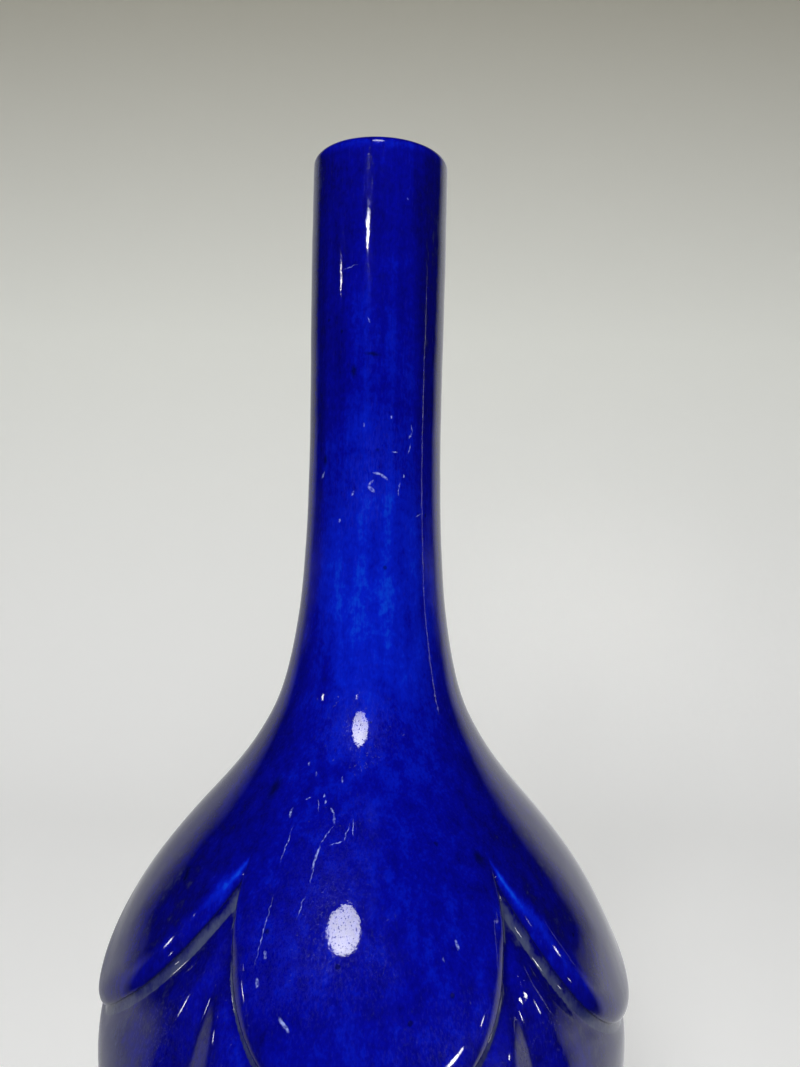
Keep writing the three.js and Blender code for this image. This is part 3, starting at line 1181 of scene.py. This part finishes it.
    def near(self, net: Network, form: VaseForm, marks: Sequence[Mark]) -> bpy.types.NodeSocket:
        """How near the closest mark is.

        Args:
            net: Where to add the nodes.
            form: The vase's shape.
            marks: The marks.

        Returns:
            The socket of a distance that is 1 on a mark's outline and 0 in its middle.
        """
        size = {"Scale": per_metre(self.ragged.size), "Detail": self.ragged.detail}
        ragged = net.add("ShaderNodeTexNoise", {"Vector": net.place, **size}).outputs["Color"]
        shifted = net.add(
            "ShaderNodeVectorMath", {"operation": "SUBTRACT", 0: ragged, 1: (0.5,) * 3}
        )
        sway = (self.mark_sway * MM,) * 3
        wavy = net.add(
            "ShaderNodeVectorMath",
            {"operation": "MULTIPLY_ADD", 0: shifted, 1: sway, 2: net.place},
        )
        nearest = marks[0].away(net, form, wavy)
        for mark in marks[1:]:
            both = {"operation": "MINIMUM", 0: nearest, 1: mark.away(net, form, wavy)}
            nearest = net.add("ShaderNodeMath", both).outputs[0]
        return nearest

    def scratch_and_glint_mask(self, net: Network, form: VaseForm) -> bpy.types.Node:
        """Masks the scratches, which scatter light where they have broken the glass, and one
        painted highlight drawn among them.

        Args:
            net: Where to add the nodes.
            form: The vase's shape.

        Returns:
            The mask.
        """
        near, broken = self.near(net, form, self.scratches), net.cloudy(self.broken)
        on = net.add("ShaderNodeMapRange", {"Value": near, **self.scratch_edge.settings()})
        breaks = net.add("ShaderNodeMapRange", {"Value": broken, **self.scratch_breaks.settings()})
        return net.add("ShaderNodeMath", {"operation": "MULTIPLY", 0: on, 1: breaks})

    def spotted(self, net: Network, form: VaseForm) -> bpy.types.Node:
        """Masks the pinholes and the darker spots in the glaze.

        Args:
            net: Where to add the nodes.
            form: The vase's shape.

        Returns:
            The mask.
        """
        cells = net.add(
            "ShaderNodeTexVoronoi", {"Vector": net.place, "Scale": per_metre(self.pinhole_gap)}
        ).outputs["Distance"]
        ragged, sway = net.cloudy(self.ragged), self.pinhole_sway
        edge = net.add(
            "ShaderNodeMath", {"operation": "MULTIPLY_ADD", 0: ragged, 1: sway, 2: cells}
        )
        near = self.near(net, form, self.spots)
        pinholes = net.add("ShaderNodeMapRange", {"Value": edge, **self.pinhole_edge.settings()})
        soft = net.add("ShaderNodeMapRange", {"Value": near, **self.spot_edge.settings()})
        return net.add("ShaderNodeMath", {"operation": "MAXIMUM", 0: pinholes, 1: soft})


@dataclass(frozen=True)
class BareClay:
    """Fired porcelain without glaze, wiped clean before firing.

    The eye sees a matt, warm off-white with fine grit, burnt orange along the glaze.
    """

    name: str = "bare_fired_porcelain"
    clay: str = "#d9cfba"
    burnt: str = "#a9805a"
    roughness: float = 0.75
    ior: float = 1.45
    grit: Texture = Texture(size=0.5, detail=4.0)
    grit_relief: Relief = Relief(0.4, 0.1)
    grit_tone: float = 0.5  # how much it lightens the clay
    glaze_line: float = 2.6
    line_sway: float = 1.6  # how far the glaze's line goes up and down
    line_waves: Texture = Texture(size=9.0, detail=2.0)
    line_width: float = 0.2
    burnt_width: float = 0.9

    def build(self, glaze: CobaltGlaze, form: VaseForm) -> bpy.types.Material:
        """Makes the material of the foot, with the glaze above its line.

        Args:
            glaze: The glaze that stops at the line.
            form: The vase's shape.

        Returns:
            The material.
        """
        material, net = new_material(self.name)
        height = net.add("ShaderNodeSeparateXYZ", {0: net.place}).outputs["Z"]
        waves, sway = net.cloudy(self.line_waves), -self.line_sway * MM
        lifted = net.add(
            "ShaderNodeMath", {"operation": "MULTIPLY_ADD", 0: waves, 1: sway, 2: height}
        )
        line = (self.glaze_line - self.line_sway / 2) * MM
        grit = net.cloudy(self.grit)
        below = Ramp(line, line - self.burnt_width * MM)
        unburnt = net.add("ShaderNodeMapRange", {"Value": lifted, **below.settings()})
        gritty = net.add(
            "ShaderNodeMath",
            {"operation": "MULTIPLY_ADD", 0: grit, 1: self.grit_tone, 2: unburnt},
        )
        stops = ((0.2, self.burnt), (0.8, self.clay))
        clay = net.add(
            "ShaderNodeBsdfPrincipled",
            {
                "Base Color": net.add("ShaderNodeValToRGB", {"Fac": gritty}, stops),
                "Roughness": self.roughness,
                "IOR": self.ior,
                "Normal": net.add(
                    "ShaderNodeBump", {"Height": grit, **self.grit_relief.settings()}
                ),
            },
        )
        above = Ramp(line, line + self.line_width * MM)
        over = net.add("ShaderNodeMapRange", {"Value": lifted, **above.settings()})
        glazed = glaze.shader(net, form)
        mixed = net.add("ShaderNodeMixShader", {0: over, 1: clay, 2: glazed})
        net.add("ShaderNodeOutputMaterial", {"Surface": mixed})
        return material


@dataclass(frozen=True)
class PaleSweep:
    """A matt pale paper sweep, which shows the eye soft, slightly warm greys, with painted shade
    darkening it towards the top.
    """

    name: str = "pale_paper_sweep"
    low: str = "#e8e8e7"
    middle: str = "#d0d1cb"
    high: str = "#969489"
    top: float = 0.66  # the height in metres at which its painted shade is darkest
    roughness: float = 0.9
    glow: float = 0.42  # the part of its tone that comes from the room's even light

    def build(self) -> bpy.types.Material:
        """Makes the material.

        Returns:
            The material.
        """
        material, net = new_material(self.name)
        height = net.add("ShaderNodeSeparateXYZ", {0: net.place}).outputs["Z"]
        rise = Ramp(0.0, self.top)
        share = net.add("ShaderNodeMapRange", {"Value": height, **rise.settings()})
        stops = ((0.0, self.low), (0.5, self.middle), (1.0, self.high))
        colour = net.add("ShaderNodeValToRGB", {"Fac": share}, stops)
        seen = net.add("ShaderNodeLightPath").outputs["Is Camera Ray"]
        shader = net.add(
            "ShaderNodeBsdfPrincipled",
            {
                "Base Color": colour,
                "Roughness": self.roughness,
                "Specular IOR Level": 0.0,
                "Emission Color": colour,
                "Emission Strength": net.add(
                    "ShaderNodeMath", {"operation": "MULTIPLY", 0: seen, 1: self.glow}
                ),
            },
        )
        net.add("ShaderNodeOutputMaterial", {"Surface": shader})
        return material


@dataclass(frozen=True)
class Room:
    """A dim room, which the glaze mirrors: pale behind the vase and beside its foot, else dark."""

    name: str = "room"
    dark: str = "#08090b"
    pale: str = "#fbfcff"
    seen: str = "#d6d6d2"  # past the edges of the paper sweep
    behind: Ramp = Ramp(0.47, 0.70)
    low: Ramp = Ramp(0.08, -0.10)
    beside: Ramp = Ramp(-0.12, 0.12)
    light: Ramp = Ramp(-0.5, 1.0, 0.42, 0.92)  # from left to right

    def build(self) -> bpy.types.World:
        """Makes the world.

        Returns:
            The world, with its light turned by direction.
        """
        world = bpy.data.worlds.new(self.name)
        world.use_nodes = True
        net = Network(world.node_tree)
        toward = net.add("ShaderNodeSeparateXYZ", {0: net.coordinates["Generated"]}).outputs
        behind, low, beside, lit = (
            net.add("ShaderNodeMapRange", {"Value": toward[axis], **ramp.settings()})
            for axis, ramp in (
                ("Y", self.behind),
                ("Z", self.low),
                ("Y", self.beside),
                ("X", self.light),
            )
        )
        table = net.add("ShaderNodeMath", {"operation": "MULTIPLY", 0: low, 1: beside})
        share = net.add("ShaderNodeMath", {"operation": "MAXIMUM", 0: behind, 1: table})
        stops = ((0.0, self.dark), (1.0, self.pale))
        walls = net.add("ShaderNodeValToRGB", {"Fac": share}, stops)
        mirrored = net.add("ShaderNodeBackground", {"Color": walls, "Strength": lit})
        seen = net.add("ShaderNodeBackground", {"Color": linear(self.seen), "Strength": 1.0})
        camera_ray = net.add("ShaderNodeLightPath").outputs["Is Camera Ray"]
        mixed = net.add("ShaderNodeMixShader", {0: camera_ray, 1: mirrored, 2: seen})
        net.add("ShaderNodeOutputWorld", {"Surface": mixed})
        return world


@dataclass(frozen=True)
class Lamp:
    """A round or oval area lamp. Places and sizes are in metres."""

    name: str
    place: Sequence[float]
    aim: Sequence[float]
    size: tuple[float, float]
    power: float  # in watts
    spread: float = 180.0  # full angle of its beam in degrees, less than 180 with a grid before it
    in_gloss: bool = True  # whether the glaze mirrors it

    def build(self) -> None:
        """Adds the lamp."""
        data = bpy.data.lights.new(self.name, "AREA")
        data.shape = "ELLIPSE"
        data.size, data.size_y = self.size
        data.energy = self.power
        data.spread = math.radians(self.spread)
        lamp = bpy.data.objects.new(self.name, data)
        bpy.context.scene.collection.objects.link(lamp)
        lamp.location = self.place
        ahead = Vector(self.aim) - Vector(self.place)
        lamp.rotation_euler = ahead.to_track_quat("-Z", "Y").to_euler()
        lamp.visible_glossy = self.in_gloss
        lamp.visible_camera = False


@dataclass
class Studio:
    """The floor, the backdrop, the lamps and the camera. Sizes are in metres."""

    focal_length: float = 29.69
    sensor_width: float = 36.0
    camera_place: tuple[float, float, float] = (0.0053, -0.1764, 0.1405)
    camera_roll: float = 1.08
    camera_lift: float = 1.0
    middle: tuple[float, float, float] = (0.0, 0.0, 0.12)
    far_off: float = 1.6
    close_by: float = 0.25
    half_width: float = 1.4
    front_y: float = -1.4
    wall_y: float = 0.62
    wall_height: float = 1.6
    sweep: float = 0.35
    sweep_rows: int = 24

    def build(self) -> None:
        """Makes the whole studio."""
        self.backdrop()
        for lamp in self.lamps():
            lamp.build()
        bpy.context.scene.world = Room().build()
        self.camera()

    def backdrop(self) -> None:
        """Makes the floor and the wall behind as one curved sheet."""
        bend_y = self.wall_y - self.sweep
        profile = [(self.front_y, 0.0), (bend_y, 0.0)]
        for turn in np.radians(np.linspace(0, 90, self.sweep_rows))[1:]:
            y, z = bend_y + self.sweep * math.sin(turn), self.sweep * (1 - math.cos(turn))
            profile.append((y, z))
        profile.append((self.wall_y, self.wall_height))
        points = [(x, y, z) for y, z in profile for x in (-self.half_width, self.half_width)]
        faces = [(2 * i, 2 * i + 1, 2 * i + 3, 2 * i + 2) for i in range(len(profile) - 1)]
        mesh = bpy.data.meshes.new("paper_sweep")
        mesh.from_pydata(points, [], faces)
        mesh.polygons.foreach_set("use_smooth", np.ones(len(faces), dtype=bool))
        mesh.update()
        sheet = bpy.data.objects.new("paper_sweep", mesh)
        bpy.context.scene.collection.objects.link(sheet)
        sheet.data.materials.append(PaleSweep().build())
        sheet.visible_glossy = False  # the glaze mirrors the room instead, dark before the vase

    def stand(
        self, target: Sequence[float], bearing: float, height: float, distance: float
    ) -> Vector:
        """Where a lamp stands.

        Args:
            target: What it is seen from.
            bearing: Degrees to the right of the lens.
            height: Degrees above the horizon.
            distance: How far off it is.

        Returns:
            The place.
        """
        turn = Matrix.Rotation(math.radians(bearing), 4, "Z")
        lift = Matrix.Rotation(-math.radians(height), 4, "X")
        return Vector(target) + turn @ lift @ Vector((0.0, -distance, 0.0))

    def lamps(self) -> list[Lamp]:
        """The lamps: two by the lens, three across the room, five close by, one soft.

        Returns:
            The lamps. The narrow beam of each close one falls on one part of the vase only.
        """

        def far(name: str, bearing: float, height: float, aim: float, *rest: Any) -> Lamp:
            """A lamp or window across the room."""
            place = self.stand(self.middle, bearing, height, self.far_off)
            return Lamp(name, place, (0.0, 0.0, aim), *rest)

        def close(
            name: str, target: Sequence[float], bearing: float, height: float, *rest: Any
        ) -> Lamp:
            """A small lamp close by."""
            return Lamp(name, self.stand(target, bearing, height, self.close_by), target, *rest)

        above_lens, over_lens = (-0.028, -0.158, 0.214), (-0.002, -0.105, 0.30)
        dome, rim, low_body = (0.0, -0.03, 0.092), (0.0, -0.0134, 0.217), (0.0, 0.0, 0.1)
        lip_left, lip_right = (-0.0314, -0.0307, 0.0752), (0.0323, -0.0301, 0.0749)
        under_left, under_right = (-0.0292, -0.034, 0.0736), (0.0306, -0.0344, 0.0712)
        front_petal = (0.0148, -0.046, 0.066)
        return [
            Lamp("spot_above_lens", above_lens, dome, (0.047, 0.047), 0.0066, 50.0),
            Lamp("over_rim", over_lens, rim, (0.036, 0.06), 0.0016, 28.0),
            far("high_left_of_lens", -16.5, 23.9, 0.27, (0.15, 0.13), 0.0071, 8.0),
            far("high_left", -63.0, 19.1, 0.16, (0.08, 0.036), 0.0005, 8.0),
            far("window_right", 92.0, 11.0, 0.12, (0.03, 0.5), 0.08),
            close("left_of_petals", lip_left, -72.0, 6.0, (0.03, 0.08), 0.0003, 8.0),
            close("low_left", under_left, -42.0, -17.0, (0.02, 0.02), 0.00002, 5.0),
            close("right_of_lens", front_petal, 34.0, 14.0, (0.04, 0.03), 0.0004, 9.0),
            close("right_of_petals", lip_right, 60.0, 8.0, (0.05, 0.05), 0.0003, 7.0),
            close("low_right", under_right, 45.0, -18.0, (0.03, 0.03), 0.00004, 5.0),
            Lamp("soft_front", (-0.1, -1.0, 0.75), low_body, (0.9, 0.9), 14.0, in_gloss=False),
        ]

    def camera(self) -> None:
        """Adds the camera at the photograph's viewing angle."""
        data = bpy.data.cameras.new("camera")
        data.lens = self.focal_length
        data.sensor_width = self.sensor_width
        data.clip_start = 0.01
        camera = bpy.data.objects.new("camera", data)
        bpy.context.scene.collection.objects.link(camera)
        camera.location = self.camera_place
        ahead = Matrix.Rotation(math.radians(90.0 + self.camera_lift), 4, "X")
        roll = Matrix.Rotation(-math.radians(self.camera_roll), 4, "Y")
        camera.matrix_world = Matrix.Translation(self.camera_place) @ roll @ ahead
        bpy.context.scene.camera = camera


def dress(
    piece: bpy.types.Object, material: bpy.types.Material, slot: str, nodes: Sequence[str]
) -> None:
    """Gives a piece its material and its place in the frame.

    Args:
        piece: The new piece.
        material: Its finish.
        slot: The record's material slot; not used.
        nodes: The CAD nodes that it stands for.
    """
    piece.data.materials.append(material)
    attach(piece, "root")
    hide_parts(*nodes)
    LOG.info("%s: %d faces, stands for %s", piece.name, len(piece.data.polygons), ", ".join(nodes))


def main() -> None:
    """Builds the vase and its studio."""
    logging.basicConfig(level=logging.INFO, format="%(message)s")
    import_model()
    scene = bpy.context.scene
    scene.view_settings.view_transform = "Standard"

    form = VaseForm()
    glaze = CobaltGlaze()
    cobalt, foot = glaze.build(form), BareClay().build(glaze, form)
    blue, bare = Slot.COBALT_GLAZE.value, Slot.BARE_CLAY.value
    petals = [f"petal_{i + 1}" for i in range(form.petals)]
    dress(NeckAndPetals(form).build(), cobalt, blue, ["neck_tube", "shoulder", *petals])
    dress(LobedBody(form).build(), cobalt, blue, ["body_upper", "body_lower"])
    dress(FootRing(form).build(), foot, bare, ["foot_ring"])
    Studio().build()


if __name__ == "__main__":
    main()
